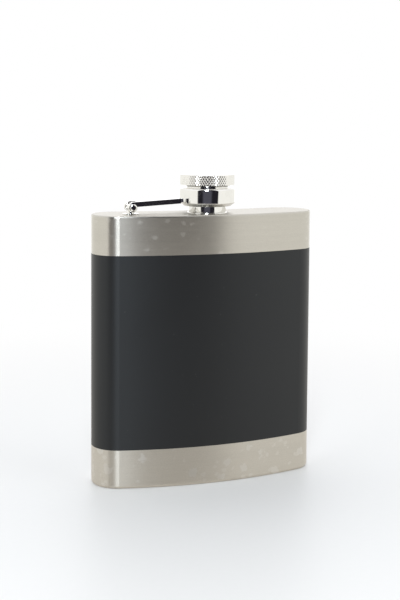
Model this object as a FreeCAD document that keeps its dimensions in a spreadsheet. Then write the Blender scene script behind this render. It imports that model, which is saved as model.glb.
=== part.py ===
"""Curved hip flask with a captive screw cap on a hinged arm, as separate pieces in millimetres.

The origin is on the resting face, under the neck's axis. +Z runs up the neck, +X runs along the width
away from the hinge, and -Y is the convex front. Levels of the closure are counted from the plate's top.
"""
import FreeCAD, Part
import math
import os
import re

import Sketcher
from FreeCAD import Placement, Rotation, Vector

DIMENSIONS = {
    # body
    "width": 92.0,
    "depth": 23.0,
    "front_radius": 145.0,
    "back_radius": 175.0,
    "corner_radius": 10.5,
    "body_height": 106.4,
    "sheet_thickness": 0.7,
    "plate_thickness": 0.8,
    "dish_depth": 3.0,
    "top_rounding": 0.75,
    "base_rounding": 1.2,
    "band_bottom": 15.2,
    "band_top": 91.1,
    "band_thickness": 0.25,
    # neck
    "bore_radius": 5.3,
    "neck_radius": 7.45,
    "shoulder_level": 3.3,
    "rim_level": 8.2,
    "rim_bevel": 0.2,
    "male_root_radius": 6.2,
    "male_crest_radius": 6.7,
    "male_thread_start": 5.6,
    "thread_rise": 1.5,
    "thread_pitch": 1.5,
    "thread_foot": 0.9,
    "thread_land": 0.25,
    "thread_overlap": 0.18,
    "flange_radius": 9.2,
    "flange_thickness": 0.8,
    "weld_size": 0.45,
    "weld_rounding": 0.43,
    # hinge post and pin
    "hinge_offset": 31.8,
    "hinge_level": 2.85,
    "foot_length": 6.5,
    "foot_width": 5.0,
    "foot_thickness": 0.4,
    "post_width": 3.4,
    "foot_corner_radius": 2.2,
    "post_waist_radius": 1.25,
    "post_top_radius": 1.5,
    "pin_radius": 0.8,
    "pin_head_radius": 1.4,
    "pin_head_height": 0.6,
    "pin_head_rounding": 0.54,
    "running_clearance": 0.05,
    # arm
    "arm_width": 7.0,
    "arm_end_width": 10.6,
    "arm_thickness": 1.95,
    "arm_slope": 3.0,
    "arm_lift": 0.2,
    "arm_overhang": 1.35,
    "arm_end_rounding": 1.5,
    "arm_shoulder": 0.35,
    "ear_radius": 1.7,
    "fork_gap": 3.6,
    "fork_depth": 2.0,
    # collar and the rings inside it
    "collar_radius": 11.15,
    "collar_bore_radius": 9.0,
    "collar_foot_radius": 9.6,
    "collar_foot_level": 2.9,
    "collar_side_bottom": 4.2,
    "collar_top_level": 10.0,
    "collar_rounding": 0.95,
    "lip_radius": 8.4,
    "lip_level": 9.0,
    "slip_ring_level": 4.45,
    "slip_ring_thickness": 0.6,
    "groove_level": 3.75,
    "groove_width": 0.65,
    "groove_radius": 7.95,
    "snap_ring_radius": 8.9,
    "snap_ring_gap": 2.5,
    # cap
    "socket_radius": 8.3,
    "socket_bottom": 3.3,
    "socket_ceiling": 9.5,
    "skirt_bore_radius": 7.55,
    "female_crest_radius": 6.98,
    "female_thread_start": 5.6,
    "gasket_level": 8.22,
    "gasket_radius": 6.9,
    "gasket_hole_radius": 4.2,
    "spigot_radius": 2.0,
    "spigot_head_radius": 3.0,
    "spigot_head_height": 0.4,
    "knob_bottom": 10.45,
    "knob_radius": 10.75,
    "knob_foot_radius": 8.6,
    "knurl_bottom": 11.2,
    "knurl_top": 15.0,
    "knob_top_radius": 10.4,
    "knob_top": 15.35,
}

THROUGH = "ThroughAll"
NEAR = 1e-3
WORD = re.compile(r"[a-z][a-z_]*")

doc = FreeCAD.newDocument("hip_flask")
sheet = doc.addObject("Spreadsheet::Sheet", "Dims")


def fill_sheet():
    """One row per driving dimension: its name, and its value under an alias of the same name."""
    for row, (alias, size) in enumerate(DIMENSIONS.items(), start=1):
        sheet.set(f"A{row}", alias)
        sheet.set(f"B{row}", str(size))
        sheet.setAlias(f"B{row}", alias)
    doc.recompute()


def bound(expression):
    """The expression with each dimension written as a reference to its cell."""
    return WORD.sub(lambda word: "Dims." + word[0] if word[0] in DIMENSIONS else word[0], str(expression))


def value(expression):
    """What an expression of the dimensions comes to, as a plain number."""
    return float(sheet.evalExpression(bound(expression)))


def above_plate(level):
    """A level of the closure, counted from the base."""
    return f"body_height + {level}"


# ---- bodies, sketches and features -------------------------------------------------------------

def new_body(label):
    body = doc.addObject("PartDesign::Body", label)
    body.Label = label
    body.Placement = Placement()
    return body


def origin_plane(body, role):
    return next(item for item in body.Origin.OriginFeatures if item.Role == role)


def new_sketch(body, name, role, lift="0"):
    """A sketch on one of the body's own planes, lifted along the plane's normal."""
    sketch = body.newObject("Sketcher::SketchObject", f"{body.Label}_{name}")
    sketch.AttachmentSupport = (origin_plane(body, role), [""])
    sketch.MapMode = "FlatFace"
    sketch.setExpression("AttachmentOffset.Base.z", bound(lift))
    return sketch


def constrain(sketch, kind, *places, size):
    """Adds a dimension that takes its value from the sheet."""
    index = sketch.addConstraint(Sketcher.Constraint(kind, *places, value(size)))
    sketch.setExpression(f"Constraints[{index}]", bound(size))


def pin_corner(sketch, line, place, x, y):
    """Holds one end of a line at a place counted from the sketch's origin."""
    for kind, size in (("DistanceX", x), ("DistanceY", y)):
        length = value(size)
        if abs(length) < NEAR:
            axis = -2 if kind == "DistanceX" else -1
            sketch.addConstraint(Sketcher.Constraint("PointOnObject", line, place, axis))
        elif length > 0:
            constrain(sketch, kind, -1, 1, line, place, size=size)
        else:
            constrain(sketch, kind, line, place, -1, 1, size=f"-({size})")


def draw_polygon(sketch, corners):
    """A closed outline of straight lines through corners given as pairs of expressions."""
    points = [Vector(value(x), value(y), 0) for x, y in corners]
    lines = []
    for start, end in zip(points, points[1:] + points[:1]):
        lines.append(sketch.addGeometry(Part.LineSegment(start, end)))
    for line, following in zip(lines, lines[1:] + lines[:1]):
        sketch.addConstraint(Sketcher.Constraint("Coincident", line, 2, following, 1))
    for line, (x, y) in zip(lines, corners):
        pin_corner(sketch, line, 1, x, y)


def draw_rectangle(sketch, left, bottom, right, top):
    draw_polygon(sketch, [(left, bottom), (right, bottom), (right, top), (left, top)])


def draw_circle(sketch, radius, x="0", y="0"):
    centre = Vector(value(x), value(y), 0)
    circle = sketch.addGeometry(Part.Circle(centre, Vector(0, 0, 1), value(radius)))
    constrain(sketch, "Radius", circle, size=radius)
    pin_corner(sketch, circle, 3, x, y)


def draw_body_outline(sketch, inset):
    """The flask's plan, moved inwards: a front arc, a back arc and rounded ends, all tangent.

    Both long arcs have their centres on the +Y side, so the plan is a kidney's.
    """
    width = value(f"width / 2 - ({inset})")
    front = value(f"front_radius - ({inset})")
    back = value(f"back_radius + ({inset})")
    corner = value(f"corner_radius - ({inset})")
    front_y = value("front_radius - depth / 2")
    back_y = value("back_radius + depth / 2")
    end_x = width - corner
    near_y = front_y - math.sqrt((front - corner) ** 2 - end_x ** 2)
    far_y = back_y - math.sqrt((back + corner) ** 2 - end_x ** 2)
    near = math.atan2(near_y - front_y, end_x)
    far = math.atan2(back_y - far_y, -end_x)

    def arc(x, y, radius, start, end):
        circle = Part.Circle(Vector(x, y, 0), Vector(0, 0, 1), radius)
        return sketch.addGeometry(Part.ArcOfCircle(circle, start, end))

    def upright(x, start, end):
        line = sketch.addGeometry(Part.LineSegment(Vector(x, start, 0), Vector(x, end, 0)))
        sketch.addConstraint(Sketcher.Constraint("Vertical", line))
        return line

    front_arc = arc(0, front_y, front, -math.pi - near, near)
    right_near = arc(end_x, near_y, corner, near, 0)
    right = upright(width, near_y, far_y)
    right_far = arc(end_x, far_y, corner, 0, far)
    back_arc = arc(0, back_y, back, -far, far - math.pi)
    left_far = arc(-end_x, far_y, corner, math.pi - far, math.pi)
    left = upright(-width, far_y, near_y)
    left_near = arc(-end_x, near_y, corner, math.pi, -math.pi - near)

    joints = [
        (front_arc, 2, right_near, 1),
        (right_near, 2, right, 1),
        (right, 2, right_far, 1),
        (right_far, 2, back_arc, 2),
        (back_arc, 1, left_far, 1),
        (left_far, 2, left, 1),
        (left, 2, left_near, 1),
        (left_near, 2, front_arc, 1),
    ]
    for joint in joints:
        sketch.addConstraint(Sketcher.Constraint("Tangent", *joint))
    for other in (right_far, left_far, left_near):
        sketch.addConstraint(Sketcher.Constraint("Equal", right_near, other))
    constrain(sketch, "Radius", right_near, size=f"corner_radius - ({inset})")
    constrain(sketch, "Radius", front_arc, size=f"front_radius - ({inset})")
    constrain(sketch, "Radius", back_arc, size=f"back_radius + ({inset})")
    constrain(sketch, "DistanceX", -1, 1, right, 1, size=f"width / 2 - ({inset})")
    constrain(sketch, "DistanceX", left, 1, -1, 1, size=f"width / 2 - ({inset})")
    pin_corner(sketch, front_arc, 3, "0", "front_radius - depth / 2")
    pin_corner(sketch, back_arc, 3, "0", "back_radius + depth / 2")


def pad(body, sketch, name, length, symmetric=False, backwards=False):
    feature = body.newObject("PartDesign::Pad", f"{body.Label}_{name}")
    feature.Profile = (sketch, [""])
    feature.setExpression("Length", bound(length))
    feature.Midplane = symmetric
    feature.Reversed = backwards
    finish(body, feature)
    return feature


def cut(body, sketch, name, length=None, upwards=False):
    """A pocket. With no length it goes through everything, both ways."""
    before = body.Shape.Volume
    feature = body.newObject("PartDesign::Pocket", f"{body.Label}_{name}")
    feature.Profile = (sketch, [""])
    if length is None:
        feature.Type = THROUGH
        feature.Midplane = True
    else:
        feature.setExpression("Length", bound(length))
        feature.Reversed = upwards
    finish(body, feature)
    if body.Shape.Volume > before - NEAR:
        raise ValueError(f"{feature.Name} cut nothing")
    return feature


def turn(body, sketch, name, kind="PartDesign::Revolution"):
    feature = body.newObject(kind, f"{body.Label}_{name}")
    feature.Profile = (sketch, [""])
    feature.ReferenceAxis = (sketch, ["V_Axis"])
    feature.Angle = 360
    finish(body, feature)
    return feature


def finish(body, feature):
    """Makes a feature the body's last one, and stops if it failed."""
    body.Tip = feature
    doc.recompute()
    if "Invalid" in feature.State or feature.Shape.isNull():
        raise ValueError(f"{feature.Name} failed")


def dress(body, kind, name, size_name, size, choose):
    """A fillet or chamfer on the edges of the body's tip that the choose function picks."""
    base = body.Tip
    edges = [f"Edge{i}" for i, edge in enumerate(base.Shape.Edges, start=1) if choose(edge)]
    if not edges:
        raise ValueError(f"no edge to dress on {body.Label}")
    feature = body.newObject(kind, f"{body.Label}_{name}")
    feature.Base = (base, edges)
    feature.setExpression(size_name, bound(size))
    finish(body, feature)
    return feature


def round_edges(body, name, radius, choose):
    return dress(body, "PartDesign::Fillet", name, "Radius", radius, choose)


def bevel_edges(body, name, size, choose):
    return dress(body, "PartDesign::Chamfer", name, "Size", size, choose)


def level_edge(edge, level):
    """Whether an edge lies flat at a level."""
    box = edge.BoundBox
    return abs(box.ZMin - level) < NEAR and abs(box.ZMax - level) < NEAR


def ring_edge(edge, radius, level):
    """Whether an edge is a full circle about the neck's axis, of this radius and at this level."""
    box = edge.BoundBox
    return level_edge(edge, level) and abs(box.XMax - radius) < NEAR and abs(box.XMin + radius) < NEAR


def turned_body(label, corners):
    """A piece turned about the neck's axis from corners given as radius and level."""
    body = new_body(label)
    sketch = new_sketch(body, "profile", "XZ_Plane")
    draw_polygon(sketch, corners)
    turn(body, sketch, "turn")
    return body


# ---- flask body --------------------------------------------------------------------------------

def make_body_wall():
    """The side wall: a seam-welded tube of sheet with a shallow recess for the band."""
    body = new_body("body_wall")
    tube = new_sketch(body, "tube_outline", "XY_Plane", "dish_depth")
    draw_body_outline(tube, "0")
    draw_body_outline(tube, "sheet_thickness")
    pad(body, tube, "tube", "body_height - 2 * dish_depth")
    recess = new_sketch(body, "recess_outline", "XY_Plane", "band_bottom")
    draw_body_outline(recess, "-sheet_thickness")
    draw_body_outline(recess, "band_thickness")
    cut(body, recess, "recess", "band_top - band_bottom", upwards=True)
    return body


def make_black_band():
    """A thin wrap that fills the wall's recess, so that its face is flush with the sheet."""
    body = new_body("black_band")
    outline = new_sketch(body, "outline", "XY_Plane", "band_bottom")
    draw_body_outline(outline, "0")
    draw_body_outline(outline, "band_thickness")
    pad(body, outline, "wrap", "band_top - band_bottom")
    return body


def make_dish(label, bottom, hollow_bottom, rounding, rounded_level):
    """A stamped end: a plate with a short skirt that butts against the wall."""
    body = new_body(label)
    outline = new_sketch(body, "outline", "XY_Plane", bottom)
    draw_body_outline(outline, "0")
    pad(body, outline, "blank", "dish_depth")
    hollow = new_sketch(body, "hollow_outline", "XY_Plane", hollow_bottom)
    draw_body_outline(hollow, "sheet_thickness")
    cut(body, hollow, "hollow", "dish_depth - plate_thickness", upwards=True)
    level = value(rounded_level)
    round_edges(body, "edge", rounding, lambda edge: level_edge(edge, level))
    return body


def make_top_plate():
    """The top dish, with a hole for the neck."""
    body = make_dish("top_plate", "body_height - dish_depth", "body_height - dish_depth",
                     "top_rounding", "body_height")
    hole = new_sketch(body, "neck_hole_outline", "XY_Plane")
    draw_circle(hole, "neck_radius")
    cut(body, hole, "neck_hole")
    return body


def make_base_plate():
    """The base dish, flat underneath, on which the flask stands."""
    return make_dish("base_plate", "0", "plate_thickness", "base_rounding", "0")


# ---- neck --------------------------------------------------------------------------------------

def add_thread(body, root, crest, start, rise):
    """A helical ridge about the neck's axis, with a trapezium for its section.

    The wide side of the section lies a little inside the metal that the ridge stands on.
    """
    sketch = new_sketch(body, "thread_section", "XZ_Plane")
    level = above_plate(start)
    corners = [
        (root, f"{level} - thread_foot / 2"),
        (crest, f"{level} - thread_land / 2"),
        (crest, f"{level} + thread_land / 2"),
        (root, f"{level} + thread_foot / 2"),
    ]
    draw_polygon(sketch, corners)
    helix = body.newObject("PartDesign::AdditiveHelix", f"{body.Label}_thread")
    helix.Profile = (sketch, [""])
    helix.ReferenceAxis = (sketch, ["V_Axis"])
    helix.Mode = "pitch-height-angle"
    helix.setExpression("Pitch", bound("thread_pitch"))
    helix.setExpression("Height", bound(rise))
    helix.Angle = 0
    helix.LeftHanded = False
    helix.Reversed = False
    finish(body, helix)
    return helix


def make_neck():
    """The mouth: a bored stub with a flange under the plate, a plain shoulder and a thread above it."""
    under = "body_height - plate_thickness"
    shoulder = above_plate("shoulder_level")
    rim = above_plate("rim_level")
    body = turned_body("neck", [
        ("bore_radius", f"{under} - flange_thickness"),
        ("flange_radius", f"{under} - flange_thickness"),
        ("flange_radius", under),
        ("neck_radius", under),
        ("neck_radius", shoulder),
        ("male_root_radius", shoulder),
        ("male_root_radius", rim),
        ("bore_radius", rim),
    ])
    root = value("male_root_radius")
    bevel_edges(body, "rim_bevel", "rim_bevel", lambda edge: ring_edge(edge, root, value(rim)))
    add_thread(body, "male_root_radius - thread_overlap", "male_crest_radius",
               "male_thread_start", "thread_rise")
    return body


def make_neck_weld():
    """The round bead that joins the neck to the plate."""
    top = above_plate("weld_size")
    body = turned_body("neck_weld", [
        ("neck_radius", "body_height"),
        ("neck_radius + weld_size", "body_height"),
        ("neck_radius + weld_size", top),
        ("neck_radius", top),
    ])
    outer = value("neck_radius + weld_size")
    round_edges(body, "bead", "weld_rounding", lambda edge: ring_edge(edge, outer, value(top)))
    return body


# ---- hinge -------------------------------------------------------------------------------------

def make_hinge_post():
    """The lug that carries the pin: a rounded foot, a round waist, and a barrel with the pin's hole."""
    body = new_body("hinge_post")
    foot = new_sketch(body, "foot_outline", "XY_Plane", "body_height")
    draw_rectangle(foot, "-hinge_offset - foot_length / 2", "-foot_width / 2",
                   "-hinge_offset + foot_length / 2", "foot_width / 2")
    pad(body, foot, "foot", "foot_thickness")
    round_edges(body, "foot_corners", "foot_corner_radius",
                lambda edge: edge.BoundBox.ZMax - edge.BoundBox.ZMin > value("foot_thickness / 2"))
    waist = new_sketch(body, "waist_outline", "XY_Plane", "body_height")
    draw_circle(waist, "post_waist_radius", "-hinge_offset")
    pad(body, waist, "waist", "hinge_level")
    head = new_sketch(body, "head_outline", "XZ_Plane")
    draw_circle(head, "post_top_radius", "-hinge_offset", above_plate("hinge_level"))
    pad(body, head, "head", "post_width", symmetric=True)
    hole = new_sketch(body, "pin_hole_outline", "XZ_Plane")
    draw_circle(hole, "pin_radius", "-hinge_offset", above_plate("hinge_level"))
    cut(body, hole, "pin_hole")
    return body


def end_edge(edge, reach):
    """Whether an edge lies in an upright plane at this distance in front of or behind the neck's axis."""
    box = edge.BoundBox
    return box.YMax - box.YMin < NEAR and abs(abs(box.YMin) - reach) < NEAR


def make_hinge_pin():
    """A rivet through the post and the arm's ears, with a low domed head at each end."""
    body = new_body("hinge_pin")
    shank = new_sketch(body, "shank_outline", "XZ_Plane")
    draw_circle(shank, "pin_radius", "-hinge_offset", above_plate("hinge_level"))
    pad(body, shank, "shank", "arm_width + 2 * running_clearance", symmetric=True)
    head_length = "arm_width / 2 + running_clearance"
    for name, side in (("front_head", 1), ("back_head", -1)):
        sketch = new_sketch(body, f"{name}_outline", "XZ_Plane", f"{side} * ({head_length})")
        draw_circle(sketch, "pin_head_radius", "-hinge_offset", above_plate("hinge_level"))
        pad(body, sketch, name, "pin_head_height", backwards=side < 0)
    end = value(f"{head_length} + pin_head_height")
    round_edges(body, "domes", "pin_head_rounding", lambda edge: end_edge(edge, end))
    return body


def draw_arm_plan(sketch):
    """The strap's plan from over the pin to inside the collar, with a wider end at the collar."""
    end = "hinge_offset - collar_bore_radius"
    step = "hinge_offset - collar_radius + arm_shoulder"
    half = "arm_width / 2"
    wide = "arm_end_width / 2"
    draw_polygon(sketch, [
        ("-arm_overhang", f"-{half}"), (step, f"-{half}"), (step, f"-{wide}"), (end, f"-{wide}"),
        (end, wide), (step, wide), (step, half), ("-arm_overhang", half),
    ])


def strap_corner(edge):
    """Whether an edge is the strap's upright inner corner, where the narrow part meets the wide end."""
    box = edge.BoundBox
    upright = abs(edge.Length - value("arm_thickness")) < NEAR
    inner = abs(abs(box.YMax) - value("arm_width / 2")) < NEAR
    at_step = box.XMin > value("-collar_radius")
    return upright and inner and at_step


def strap_nose(edge):
    """Whether an edge is the strap's upper edge across its free end, over the pin."""
    box = edge.BoundBox
    across = box.YMax - box.YMin > value("arm_width / 2")
    beyond_pin = box.XMax < value("-hinge_offset - arm_overhang / 2")
    return across and beyond_pin and box.ZMin > value(above_plate("hinge_level + arm_thickness / 2"))


def make_arm():
    """A flat strap that climbs a little from the pin to the collar, forked over the post."""
    body = new_body("arm")
    plan = new_sketch(body, "plan", "XY_Plane")
    plan.AttachmentOffset = Placement(Vector(), Rotation(Vector(0, -1, 0), value("arm_slope")))
    plan.setExpression("AttachmentOffset.Rotation.Angle", bound("arm_slope"))
    plan.setExpression("AttachmentOffset.Base.x", bound("-hinge_offset"))
    plan.setExpression("AttachmentOffset.Base.z", bound(above_plate("hinge_level + arm_lift")))
    draw_arm_plan(plan)
    pad(body, plan, "strap", "arm_thickness")
    round_edges(body, "flare", "(arm_end_width - arm_width) / 2 - running_clearance", strap_corner)
    round_edges(body, "nose", "arm_end_rounding", strap_nose)
    ear = new_sketch(body, "ear_outline", "XZ_Plane")
    draw_circle(ear, "ear_radius", "-hinge_offset", above_plate("hinge_level"))
    pad(body, ear, "ears", "arm_width", symmetric=True)
    fork = new_sketch(body, "fork_outline", "XY_Plane")
    draw_rectangle(fork, "-hinge_offset - 2 * ear_radius", "-fork_gap / 2",
                   "-hinge_offset + fork_depth", "fork_gap / 2")
    cut(body, fork, "fork")
    hole = new_sketch(body, "pin_hole_outline", "XZ_Plane")
    draw_circle(hole, "pin_radius + running_clearance", "-hinge_offset", above_plate("hinge_level"))
    cut(body, hole, "pin_hole")
    seat = new_sketch(body, "collar_seat_outline", "XY_Plane")
    draw_circle(seat, "collar_radius")
    cut(body, seat, "collar_seat")
    return body


# ---- collar and the rings in it ----------------------------------------------------------------

def make_collar():
    """The ring at the arm's end: bevelled below, rounded above, with a lip that holds the cap in."""
    foot = above_plate("collar_foot_level")
    top = above_plate("collar_top_level")
    lip = above_plate("lip_level")
    body = turned_body("collar", [
        ("collar_bore_radius", foot),
        ("collar_foot_radius", foot),
        ("collar_radius", above_plate("collar_side_bottom")),
        ("collar_radius", top),
        ("lip_radius", top),
        ("lip_radius", lip),
        ("collar_bore_radius", lip),
    ])
    outer = value("collar_radius")
    round_edges(body, "top_rounding", "collar_rounding", lambda edge: ring_edge(edge, outer, value(top)))
    return body


def draw_ring_section(sketch, inner, outer, level, thickness):
    draw_rectangle(sketch, inner, level, outer, f"{level} + {thickness}")


def make_slip_ring():
    """A thin ring that slides in the collar's bore and bears on the lip when the cap is fully up."""
    body = new_body("slip_ring")
    section = new_sketch(body, "section", "XZ_Plane")
    draw_ring_section(section, "socket_radius + running_clearance", "collar_bore_radius - running_clearance",
                      above_plate("slip_ring_level"), "slip_ring_thickness")
    turn(body, section, "turn")
    return body


def make_retaining_ring():
    """A split snap ring in the socket's groove, under the slip ring."""
    body = new_body("retaining_ring")
    section = new_sketch(body, "section", "XZ_Plane")
    draw_ring_section(section, "groove_radius", "snap_ring_radius",
                      above_plate("groove_level"), "groove_width")
    turn(body, section, "turn")
    gap = new_sketch(body, "gap_outline", "XY_Plane")
    draw_rectangle(gap, "skirt_bore_radius", "-snap_ring_gap / 2", "collar_radius", "snap_ring_gap / 2")
    cut(body, gap, "gap")
    return body


# ---- cap ---------------------------------------------------------------------------------------

def make_cap_socket():
    """The cup that screws onto the neck: plain skirt, thread, ceiling, and a groove for the snap ring."""
    bottom = above_plate("socket_bottom")
    groove = above_plate("groove_level")
    ceiling = above_plate("socket_ceiling")
    top = above_plate("knob_bottom")
    body = turned_body("cap_socket", [
        ("spigot_radius", top),
        ("socket_radius", top),
        ("socket_radius", f"{groove} + groove_width"),
        ("groove_radius", f"{groove} + groove_width"),
        ("groove_radius", groove),
        ("socket_radius", groove),
        ("socket_radius", bottom),
        ("skirt_bore_radius", bottom),
        ("skirt_bore_radius", ceiling),
        ("spigot_radius", ceiling),
    ])
    add_thread(body, "skirt_bore_radius + thread_overlap", "female_crest_radius",
               "female_thread_start", "thread_rise")
    return body


def make_cap_gasket():
    """The flat washer against the socket's ceiling, which the neck's rim seals on."""
    level = above_plate("gasket_level")
    ceiling = above_plate("socket_ceiling")
    return turned_body("cap_gasket", [
        ("gasket_hole_radius", level),
        ("gasket_radius", level),
        ("gasket_radius", ceiling),
        ("gasket_hole_radius", ceiling),
    ])


def make_cap_knob():
    """The head that is gripped: bevelled top and bottom, with a spigot swaged under the socket's ceiling."""
    bottom = above_plate("knob_bottom")
    ceiling = above_plate("socket_ceiling")
    return turned_body("cap_knob", [
        ("0", f"{ceiling} - spigot_head_height"),
        ("spigot_head_radius", f"{ceiling} - spigot_head_height"),
        ("spigot_head_radius", ceiling),
        ("spigot_radius", ceiling),
        ("spigot_radius", bottom),
        ("knob_foot_radius", bottom),
        ("knob_radius", above_plate("knurl_bottom")),
        ("knob_radius", above_plate("knurl_top")),
        ("knob_top_radius", above_plate("knob_top")),
        ("0", above_plate("knob_top")),
    ])


# ---- checks and files --------------------------------------------------------------------------

def check(pieces):
    """Stops if any object of the document failed, or if a piece is not one valid closed shape."""
    for item in doc.Objects:
        if {"Invalid", "Error"} & set(item.State):
            raise ValueError(f"{item.Name} failed: {item.State}")
    for piece in pieces:
        shape = piece.Shape
        if shape.isNull() or not shape.isValid() or len(shape.Solids) != 1:
            raise ValueError(f"{piece.Label} is not one valid solid")


def main():
    fill_sheet()
    makers = [
        make_body_wall, make_black_band, make_top_plate, make_base_plate, make_neck, make_neck_weld,
        make_hinge_post, make_hinge_pin, make_arm, make_collar, make_slip_ring, make_retaining_ring,
        make_cap_socket, make_cap_gasket, make_cap_knob,
    ]
    pieces = [make() for make in makers]
    doc.recompute()
    check(pieces)
    os.makedirs("parts", exist_ok=True)
    for piece in pieces:
        piece.Shape.exportStep(os.path.join("parts", piece.Label + ".step"))
        print(piece.Label, round(piece.Shape.Volume, 2), piece.Shape.BoundBox)


main()
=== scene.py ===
"""Looks of the curved hip flask: materials, the knurled knob, studio and camera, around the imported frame."""

import math

import bpy
from mathutils import Matrix, Vector


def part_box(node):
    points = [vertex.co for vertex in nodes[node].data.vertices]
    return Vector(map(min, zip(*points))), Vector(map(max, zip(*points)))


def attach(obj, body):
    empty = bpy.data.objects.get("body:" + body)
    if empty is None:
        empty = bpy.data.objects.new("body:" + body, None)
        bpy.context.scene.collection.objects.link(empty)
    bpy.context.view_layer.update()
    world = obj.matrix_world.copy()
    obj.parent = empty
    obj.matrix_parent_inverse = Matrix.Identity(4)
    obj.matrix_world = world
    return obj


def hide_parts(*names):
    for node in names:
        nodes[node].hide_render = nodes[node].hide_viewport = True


MM = 0.001

# camera, as it stands to the flask: a long lens, a little above, towards the hinge end of the convex front
VIEW_YAW = 0.3689
VIEW_PITCH = 0.0869
VIEW_ROLL = 0.0073
VIEW_RIGHT = 2.04 * MM
VIEW_UP = -106.87 * MM
VIEW_DISTANCE = 502.2 * MM
LENS = 74.55
SENSOR = 36.0
FRAME_SHIFT = -0.1497

# knurl on the knob's side
KNURL_TEETH = 70
KNURL_DEPTH = 0.19 * MM
KNURL_LEAN = math.radians(31)
SAMPLES_PER_TOOTH = 12

# dark opening in the white tent, in degrees round the flask from the camera's direction
OPENING_MIDDLE = 3.0
OPENING_CLEAR = 40.5
OPENING_SHUT = 44.5
OPENING_TOP_CLEAR = 70.0
OPENING_TOP_SHUT = 84.0
SEAM_ANGLE = 56.0

# tall soft light over the camera
FLASH_WIDTH = 0.25
FLASH_HEIGHT = 0.92
FLASH_POWER = 8.0
FLASH_ASIDE = math.radians(2)
FLASH_LIFT = math.radians(37)
FLASH_DISTANCE = 1.2
FLASH_TARGET_HEIGHT = 0.06

# paper floor: how far from the flask, in metres, it fades to white and reflections stop seeing it
PAPER_HALF_SIZE = 6.0
PAPER_FADE_START = 0.08
PAPER_FADE_END = 0.35
MIRRORED_START = 0.30
MIRRORED_END = 0.40

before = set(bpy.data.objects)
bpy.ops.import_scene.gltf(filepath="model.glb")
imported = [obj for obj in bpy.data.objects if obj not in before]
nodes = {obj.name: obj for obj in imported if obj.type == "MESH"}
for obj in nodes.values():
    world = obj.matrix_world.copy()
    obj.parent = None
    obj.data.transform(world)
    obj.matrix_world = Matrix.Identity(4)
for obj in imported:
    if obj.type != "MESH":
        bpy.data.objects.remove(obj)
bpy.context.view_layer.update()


# ---- node helpers ------------------------------------------------------------------------------

class Shader:
    """The node tree of a material or a world, with short calls for the nodes this scene uses."""

    def __init__(self, owner, output_kind="ShaderNodeOutputMaterial"):
        self.owner = owner
        owner.use_nodes = True
        self.tree = owner.node_tree
        self.tree.nodes.clear()
        self.output = self.tree.nodes.new(output_kind)

    @classmethod
    def material(cls, name):
        return cls(bpy.data.materials.new(name))

    def node(self, kind, inputs=None, **settings):
        made = self.tree.nodes.new(kind)
        for key, setting in settings.items():
            setattr(made, key, setting)
        for key, source in (inputs or {}).items():
            self.feed(made.inputs[key], source)
        return made

    def feed(self, socket, source):
        if isinstance(source, bpy.types.NodeSocket):
            self.tree.links.new(source, socket)
        else:
            socket.default_value = source

    def math(self, operation, a, b=0.0):
        return self.node("ShaderNodeMath", {0: a, 1: b}, operation=operation).outputs[0]

    def vector_math(self, operation, a, b=(0, 0, 0)):
        return self.node("ShaderNodeVectorMath", {0: a, 1: b}, operation=operation).outputs[0]

    def place(self, scale):
        """Where the point is in the row frame, stretched by a scale for each axis."""
        where = self.node("ShaderNodeTexCoord").outputs["Object"]
        return self.vector_math("MULTIPLY", where, scale)

    def noise(self, vector, scale=1.0, detail=3.0, roughness=0.5):
        made = self.node("ShaderNodeTexNoise", {
            "Vector": vector, "Scale": scale, "Detail": detail, "Roughness": roughness,
        })
        return made.outputs[0]

    def ramp(self, value, low, high, out_low=0.0, out_high=1.0):
        made = self.node("ShaderNodeMapRange", {
            "Value": value, "From Min": low, "From Max": high, "To Min": out_low, "To Max": out_high,
        }, interpolation_type="SMOOTHSTEP")
        return made.outputs[0]

    def mix(self, factor, a, b):
        made = self.node("ShaderNodeMix", {0: factor, 6: a, 7: b}, data_type="RGBA")
        return made.outputs[2]

    def finish(self, surface):
        self.tree.links.new(surface, self.output.inputs["Surface"])
        return self.owner


def rgb(red, green, blue):
    return (red, green, blue, 1.0)


# ---- materials ---------------------------------------------------------------------------------

def dried_drops(s, cell_scale, edge, patch_scale, patch_low):
    """Soft-edged round marks of one size, thinned out by a second, wider noise."""
    cells = s.node("ShaderNodeTexVoronoi", {
        "Vector": s.place((1.0, 1.0, 1.15)), "Scale": cell_scale, "Randomness": 1.0, "Smoothness": 0.35,
    }, feature="SMOOTH_F1").outputs["Distance"]
    wobble = s.noise(s.place((700.0, 700.0, 700.0)), 1.0, 2.0)
    outline = s.math("ADD", cells, s.math("MULTIPLY", wobble, 0.5))
    drops = s.ramp(outline, edge, edge - 0.09)
    patches = s.ramp(s.noise(s.place((patch_scale, patch_scale, 1.3 * patch_scale)), 1.0, 1.0),
                     patch_low, patch_low + 0.05)
    return s.math("MULTIPLY", drops, patches)


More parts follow.
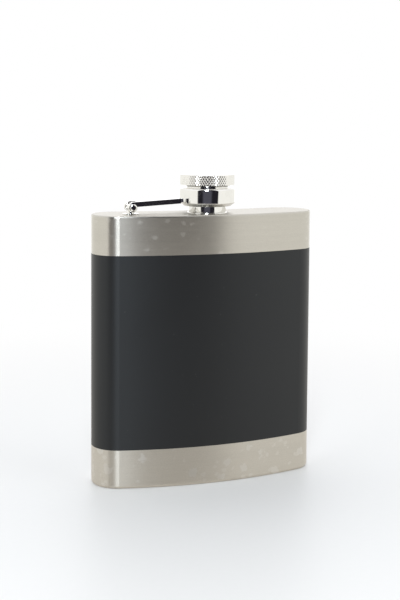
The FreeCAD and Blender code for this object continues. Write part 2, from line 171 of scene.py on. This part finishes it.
def brushed_steel():
    """Stainless sheet, brushed along the width, with dried water spots."""
    s = Shader.material("brushed_body")
    streaks = s.noise(s.place((160.0, 160.0, 9000.0)), 1.0, 4.0, 0.65)
    broad = s.noise(s.place((9.0, 9.0, 700.0)), 1.0, 2.0, 0.5)
    grain = s.noise(s.place((2600.0, 2600.0, 5200.0)), 1.0, 2.0, 0.6)
    small = dried_drops(s, 230.0, 0.52, 60.0, 0.46)
    large = dried_drops(s, 150.0, 0.57, 45.0, 0.44)
    spot_height = s.node("ShaderNodeSeparateXYZ", {0: s.place((1.0, 1.0, 1.0))}).outputs[2]
    low_down = s.ramp(spot_height, 0.03, 0.015)
    spots = s.math("MAXIMUM", s.math("MULTIPLY", small, 0.7), s.math("MULTIPLY", large, low_down))

    tone = s.ramp(streaks, 0.25, 0.75, 0.96, 1.03)
    tone = s.math("MULTIPLY", tone, s.ramp(broad, 0.3, 0.7, 0.985, 1.01))
    tone = s.math("MULTIPLY", tone, s.ramp(grain, 0.2, 0.8, 0.93, 1.06))
    steel = s.node("ShaderNodeVectorMath", {0: (0.62, 0.598, 0.548), "Scale": tone}, operation="SCALE")
    base = steel.outputs[0]
    colour = s.mix(s.math("MULTIPLY", spots, 0.5), base, rgb(0.80, 0.785, 0.75))
    roughness = s.math("ADD", s.ramp(streaks, 0.2, 0.8, 0.29, 0.37), s.math("MULTIPLY", spots, 0.12))
    height = s.math("ADD", streaks, s.math("MULTIPLY", grain, 0.6))
    bump = s.node("ShaderNodeBump", {"Height": height, "Strength": 0.16, "Distance": 0.00004})

    # the grain runs level round the sides and along the width on the flat ends
    facing = s.node("ShaderNodeNewGeometry").outputs["Normal"]
    up_share = s.node("ShaderNodeSeparateXYZ", {0: facing}).outputs[2]
    flat = s.ramp(s.math("ABSOLUTE", up_share), 0.6, 0.8)
    across = s.mix(flat, rgb(0.0, 0.0, 1.0), rgb(0.0, 1.0, 0.0))
    shader = s.node("ShaderNodeBsdfPrincipled", {
        "Base Color": colour, "Metallic": 1.0, "Roughness": roughness, "Anisotropic": 0.90,
        "Tangent": across, "Normal": bump.outputs[0],
    })
    return s.finish(shader.outputs[0])


def black_wrap():
    """Satin black skin with a very fine tooth, a few lint specks and uneven sheen."""
    s = Shader.material("black_wrap")
    tooth = s.noise(s.place((5200.0, 5200.0, 5200.0)), 1.0, 3.0, 0.6)
    cloud = s.noise(s.place((35.0, 35.0, 35.0)), 1.0, 3.0, 0.5)
    specks = s.ramp(s.noise(s.place((1100.0, 1100.0, 1100.0)), 1.0, 0.0), 0.86, 0.90)
    base = s.mix(cloud, rgb(0.0021, 0.0022, 0.0031), rgb(0.0032, 0.0034, 0.0045))
    colour = s.mix(s.math("MULTIPLY", specks, 0.5), base, rgb(0.06, 0.06, 0.062))
    roughness = s.ramp(cloud, 0.3, 0.7, 0.46, 0.49)
    upright = s.node("ShaderNodeCombineXYZ", {2: 1.0}).outputs[0]
    bump = s.node("ShaderNodeBump", {"Height": tooth, "Strength": 0.25, "Distance": 0.00003})
    shader = s.node("ShaderNodeBsdfPrincipled", {
        "Base Color": colour, "Roughness": roughness, "Specular IOR Level": 0.62,
        "Specular Tint": rgb(0.91, 0.96, 1.0), "Anisotropic": 0.72, "Tangent": upright,
        "Normal": bump.outputs[0],
    })
    return s.finish(shader.outputs[0])


def polished_steel(name="polished_steel", roughness_low=0.035, roughness_high=0.11, tint=(0.93, 0.92, 0.90)):
    """Mirror-polished plating with faint polishing haze and hairline scratches."""
    s = Shader.material(name)
    haze = s.noise(s.place((260.0, 260.0, 260.0)), 1.0, 4.0, 0.6)
    hairlines = s.noise(s.place((900.0, 900.0, 12000.0)), 1.0, 2.0, 0.5)
    roughness = s.ramp(haze, 0.35, 0.75, roughness_low, roughness_high)
    roughness = s.math("ADD", roughness, s.ramp(hairlines, 0.62, 0.75, 0.0, 0.05))
    colour = s.mix(s.ramp(haze, 0.3, 0.8), rgb(*tint), rgb(*[0.94 * part for part in tint]))
    bump = s.node("ShaderNodeBump", {"Height": haze, "Strength": 0.05, "Distance": 0.00005})
    shader = s.node("ShaderNodeBsdfPrincipled", {
        "Base Color": colour, "Metallic": 1.0, "Roughness": roughness, "Normal": bump.outputs[0],
    })
    return s.finish(shader.outputs[0])


def seal_rubber():
    """Off-white silicone with a soft sheen and a fine moulded texture."""
    s = Shader.material("seal_rubber")
    grain = s.noise(s.place((2500.0, 2500.0, 2500.0)), 1.0, 3.0, 0.6)
    colour = s.mix(grain, rgb(0.66, 0.65, 0.60), rgb(0.78, 0.77, 0.72))
    bump = s.node("ShaderNodeBump", {"Height": grain, "Strength": 0.2, "Distance": 0.00004})
    shader = s.node("ShaderNodeBsdfPrincipled", {
        "Base Color": colour, "Roughness": s.ramp(grain, 0.3, 0.7, 0.5, 0.62),
        "Subsurface Weight": 0.1, "Subsurface Radius": (0.001, 0.001, 0.001), "Normal": bump.outputs[0],
    })
    return s.finish(shader.outputs[0])


def wear(node_name, material):
    mesh = nodes[node_name].data
    mesh.materials.clear()
    mesh.materials.append(material)


# ---- shapes ------------------------------------------------------------------------------------

def soften(node_name, width):
    """Rounds a CAD node's sharp edges a little, without touching its mesh."""
    part = nodes[node_name]
    for face in part.data.polygons:
        face.use_smooth = True
    weld = part.modifiers.new("weld", "WELD")
    weld.merge_threshold = 1e-6
    bevel = part.modifiers.new("bevel", "BEVEL")
    bevel.width = width
    bevel.segments = 3
    bevel.limit_method = "ANGLE"
    bevel.angle_limit = math.radians(28)
    bevel.harden_normals = True
    bevel.miter_outer = "MITER_ARC"
    weighted = part.modifiers.new("weighted", "WEIGHTED_NORMAL")
    weighted.keep_sharp = True


def make_mesh(name, vertices, faces, material):
    mesh = bpy.data.meshes.new(name)
    mesh.from_pydata(vertices, [], faces)
    mesh.update()
    mesh.materials.append(material)
    piece = bpy.data.objects.new(name, mesh)
    bpy.context.scene.collection.objects.link(piece)
    return piece


def sweep_rings(rings):
    """Vertices and quads of a closed skin over rings of equal counts, listed from one pole to the other."""
    vertices = [point for ring in rings for point in ring]
    count = len(rings[0])
    faces = []
    for level in range(len(rings) - 1):
        for i in range(count):
            j = (i + 1) % count
            low = level * count
            high = low + count
            faces.append((low + i, low + j, high + j, high + i))
    faces.append(tuple(reversed(range(count))))
    top = (len(rings) - 1) * count
    faces.append(tuple(range(top, top + count)))
    return vertices, faces


def saw(position):
    """0 on a groove's line and 1 midway between two lines."""
    return 1 - abs(2 * (position % 1.0) - 1)


def build_knob(material):
    """The knob with its diamond knurl cut in, bevelled rims, and the spigot that holds it."""
    low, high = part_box("cap_knob")
    radius = high.x
    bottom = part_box("cap_socket")[1].z
    top = high.z
    chamfer = 0.35 * MM
    foot_drop = 0.75 * MM
    foot_step = 2.15 * MM
    count = KNURL_TEETH * SAMPLES_PER_TOOTH
    pitch = 2 * math.pi * radius / KNURL_TEETH
    row_step = pitch / SAMPLES_PER_TOOTH / math.tan(KNURL_LEAN)

    def envelope(z):
        """The bevelled outline before the knurl is cut."""
        from_top = max(0.0, z - (top - chamfer))
        from_foot = max(0.0, bottom + foot_drop - z) * foot_step / foot_drop
        return radius - from_top - from_foot

    def ring(z, limit=None, knurled=False):
        points = []
        for i in range(count):
            reach = envelope(z) if limit is None else limit
            if knurled:
                turn = i / SAMPLES_PER_TOOTH
                lean = (z - bottom) / (pitch / math.tan(KNURL_LEAN))
                crest = min(saw(turn + lean), saw(turn - lean))
                reach = min(reach, radius - KNURL_DEPTH * (1 - crest))
            angle = 2 * math.pi * i / count
            points.append((reach * math.cos(angle), reach * math.sin(angle), z))
        return points

    spigot = 2.0 * MM
    swage = 3.0 * MM
    swage_top = low.z + 0.4 * MM
    swage_bevel = 0.15 * MM
    swage_bevel_rise = 0.1 * MM
    foot_inset = 0.12 * MM
    knurl_start = 0.05 * MM
    knurl_end = 0.08 * MM
    rim_round = 0.10 * MM
    rings = [
        ring(low.z, swage - swage_bevel), ring(low.z + swage_bevel_rise, swage), ring(swage_top, swage),
        ring(swage_top, spigot), ring(bottom, spigot), ring(bottom, envelope(bottom) - foot_inset),
    ]
    z = bottom + knurl_start
    while z < top - knurl_end:
        rings.append(ring(z, knurled=True))
        z += row_step
    rim = radius - chamfer
    for step in range(1, 5):
        bend = math.radians(22.5 * step)
        level = top - rim_round * (1 - math.sin(bend))
        rings.append(ring(level, rim - rim_round * (1 - math.cos(bend))))
    for share in (0.85, 0.5, 0.1):
        rings.append(ring(top, rim * share))
    vertices, faces = sweep_rings(rings)
    knob = make_mesh("knob_knurled", vertices, faces, material)
    knob.data.shade_smooth()
    knob.data.set_sharp_from_angle(angle=math.radians(30))
    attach(knob, "cap")
    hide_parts("cap_knob")


# ---- studio ------------------------------------------------------------------------------------

def view_directions():
    """The camera's right, up and forward directions in the row frame."""
    level_right = Vector((math.cos(VIEW_YAW), -math.sin(VIEW_YAW), 0))
    forward = Vector((math.sin(VIEW_YAW) * math.cos(VIEW_PITCH), math.cos(VIEW_YAW) * math.cos(VIEW_PITCH),
                      -math.sin(VIEW_PITCH)))
    level_up = level_right.cross(forward)
    right = level_right * math.cos(VIEW_ROLL) + level_up * math.sin(VIEW_ROLL)
    up = level_up * math.cos(VIEW_ROLL) - level_right * math.sin(VIEW_ROLL)
    return right, up, forward


def make_camera():
    right, up, forward = view_directions()
    data = bpy.data.cameras.new("camera")
    camera = bpy.data.objects.new("camera", data)
    bpy.context.scene.collection.objects.link(camera)
    turn = Matrix((right, up, -forward)).transposed()
    place = -(VIEW_RIGHT * right + VIEW_UP * up + VIEW_DISTANCE * forward)
    camera.matrix_world = Matrix.Translation(place) @ turn.to_4x4()
    data.sensor_width = SENSOR
    data.lens = LENS
    data.shift_y = FRAME_SHIFT
    data.clip_start = 0.01
    data.clip_end = 50.0
    bpy.context.scene.camera = camera


def make_world():
    """A white tent with an opening of dark room behind the camera, which only reflections see."""
    world = bpy.data.worlds.new("studio")
    bpy.context.scene.world = world
    s = Shader(world, "ShaderNodeOutputWorld")
    ray = s.node("ShaderNodeTexCoord").outputs["Generated"]
    parts = s.node("ShaderNodeSeparateXYZ", {0: ray}).outputs
    # angle round the flask from the camera's direction, signed, in degrees
    toward_x = -math.sin(VIEW_YAW)
    toward_y = -math.cos(VIEW_YAW)
    x_along = s.math("MULTIPLY", parts[0], toward_x)
    y_along = s.math("MULTIPLY", parts[1], toward_y)
    ahead = s.math("ADD", x_along, y_along)
    y_across = s.math("MULTIPLY", parts[1], toward_x)
    x_across = s.math("MULTIPLY", parts[0], toward_y)
    aside = s.math("SUBTRACT", y_across, x_across)
    angle = s.math("MULTIPLY", s.math("ARCTAN2", aside, ahead), 180 / math.pi)
    off = s.math("ABSOLUTE", angle)
    height = s.math("MULTIPLY", s.math("ARCSINE", parts[2]), 180 / math.pi)

    tent = s.mix(s.ramp(height, 5.0, 50.0), rgb(0.96, 0.955, 0.905), rgb(1.05, 1.05, 1.05))
    tent = s.mix(s.ramp(off, 140.0, 172.0), tent, rgb(1.4, 1.4, 1.42))
    from_seam = s.math("ABSOLUTE", s.math("SUBTRACT", angle, SEAM_ANGLE))
    seam = s.math("MULTIPLY", s.ramp(from_seam, 3.0, 0.5), 0.35)
    tent = s.mix(seam, tent, rgb(1.0, 1.0, 1.0))
    room = s.mix(s.ramp(off, 13.0, 22.0), rgb(0.075, 0.075, 0.095), rgb(0.016, 0.015, 0.02))
    from_middle = s.math("ABSOLUTE", s.math("SUBTRACT", angle, OPENING_MIDDLE))
    sides = s.ramp(from_middle, OPENING_SHUT, OPENING_CLEAR)
    top = s.ramp(height, OPENING_TOP_SHUT, OPENING_TOP_CLEAR)
    opening = s.math("MULTIPLY", sides, top)
    seen = s.mix(opening, tent, room)
    path = s.node("ShaderNodeLightPath")
    shown = s.mix(path.outputs["Is Camera Ray"], seen, rgb(1.0, 1.0, 1.0))
    background = s.node("ShaderNodeBackground", {"Color": shown, "Strength": 1.0})
    s.finish(background.outputs[0])


def make_flash():
    """A tall soft light over the camera, which makes the upright glint at the front corner."""
    data = bpy.data.lights.new("flash", "AREA")
    data.shape = "RECTANGLE"
    data.size = FLASH_WIDTH
    data.size_y = FLASH_HEIGHT
    data.energy = FLASH_POWER
    data.color = (0.87, 0.94, 1.0)
    light = bpy.data.objects.new("flash", data)
    bpy.context.scene.collection.objects.link(light)
    target = Vector((0, 0, FLASH_TARGET_HEIGHT))
    aside = VIEW_YAW + FLASH_ASIDE
    level_back = Vector((-math.sin(aside), -math.cos(aside), 0))
    toward_light = level_back * math.cos(FLASH_LIFT) + Vector((0, 0, 1)) * math.sin(FLASH_LIFT)
    place = target + toward_light * FLASH_DISTANCE
    light.location = place
    light.rotation_mode = "QUATERNION"
    light.rotation_quaternion = (target - place).to_track_quat("-Z", "Y")


def make_floor():
    """White paper that fades into the background, and that reflections see only near the flask, with a painted
    warm reflection glow mixed in.
    """
    s = Shader.material("paper")
    where = s.node("ShaderNodeNewGeometry").outputs["Position"]
    distance = s.node("ShaderNodeVectorMath", {0: where}, operation="LENGTH").outputs["Value"]
    fibre = s.noise(s.place((400.0, 400.0, 400.0)), 1.0, 3.0, 0.6)
    colour = s.mix(fibre, rgb(0.81, 0.81, 0.81), rgb(0.83, 0.83, 0.83))
    bump = s.node("ShaderNodeBump", {"Height": fibre, "Strength": 0.05, "Distance": 0.0002})
    paper = s.node("ShaderNodeBsdfPrincipled", {
        "Base Color": colour, "Roughness": 0.45, "Specular IOR Level": 0.4, "Normal": bump.outputs[0],
    }).outputs[0]
    white = s.node("ShaderNodeEmission", {"Color": rgb(1, 1, 1), "Strength": 1.0}).outputs[0]
    fade = s.ramp(distance, PAPER_FADE_START, PAPER_FADE_END)
    faded = s.node("ShaderNodeMixShader", {0: fade, 1: paper, 2: white}).outputs[0]
    clear = s.node("ShaderNodeBsdfTransparent").outputs[0]
    path = s.node("ShaderNodeLightPath")
    glossy = path.outputs["Is Glossy Ray"]
    # painted reflection: glossy rays see the paper mixed with a warm glow that is no lamp, which tints the
    # floor's reflection in the metal
    painted_warm_reflection = s.node("ShaderNodeEmission", {"Color": rgb(0.82, 0.75, 0.65), "Strength": 1.0}).outputs[0]
    paper_with_painted_reflection = s.node("ShaderNodeMixShader", {0: 0.6, 1: faded, 2: painted_warm_reflection}).outputs[0]
    seen = s.node("ShaderNodeMixShader", {0: glossy, 1: faded, 2: paper_with_painted_reflection}).outputs[0]
    hidden = s.math("MULTIPLY", glossy, s.ramp(distance, MIRRORED_START, MIRRORED_END))
    s.finish(s.node("ShaderNodeMixShader", {0: hidden, 1: seen, 2: clear}).outputs[0])
    half = PAPER_HALF_SIZE
    corners = [(-half, -half, 0), (half, -half, 0), (half, half, 0), (-half, half, 0)]
    floor = make_mesh("floor", corners, [(0, 1, 2, 3)], s.owner)


# ---- the whole ---------------------------------------------------------------------------------

def dress():
    steel = brushed_steel()
    chrome = polished_steel()
    satin = polished_steel("satin_ring", 0.22, 0.34, (0.62, 0.61, 0.59))
    black = black_wrap()
    rubber = seal_rubber()
    finishes = {
        "body_wall": steel, "top_plate": steel, "base_plate": steel, "black_band": black,
        "neck": chrome, "neck_weld": chrome, "hinge_post": chrome, "hinge_pin": chrome,
        "arm": chrome, "collar": chrome, "cap_socket": chrome, "cap_knob": chrome,
        "slip_ring": satin, "retaining_ring": satin, "cap_gasket": rubber,
    }
    for node_name, material in finishes.items():
        wear(node_name, material)
    edge_widths = {
        "hinge_post": 0.12, "arm": 0.14, "collar": 0.10, "cap_socket": 0.06,
        "slip_ring": 0.05, "retaining_ring": 0.05, "cap_gasket": 0.08,
    }
    for node_name, width in edge_widths.items():
        soften(node_name, width * MM)
    build_knob(chrome)


def main():
    view = bpy.context.scene.view_settings
    view.view_transform = "Standard"
    view.look = "None"
    dress()
    make_floor()
    make_world()
    make_flash()
    make_camera()


main()
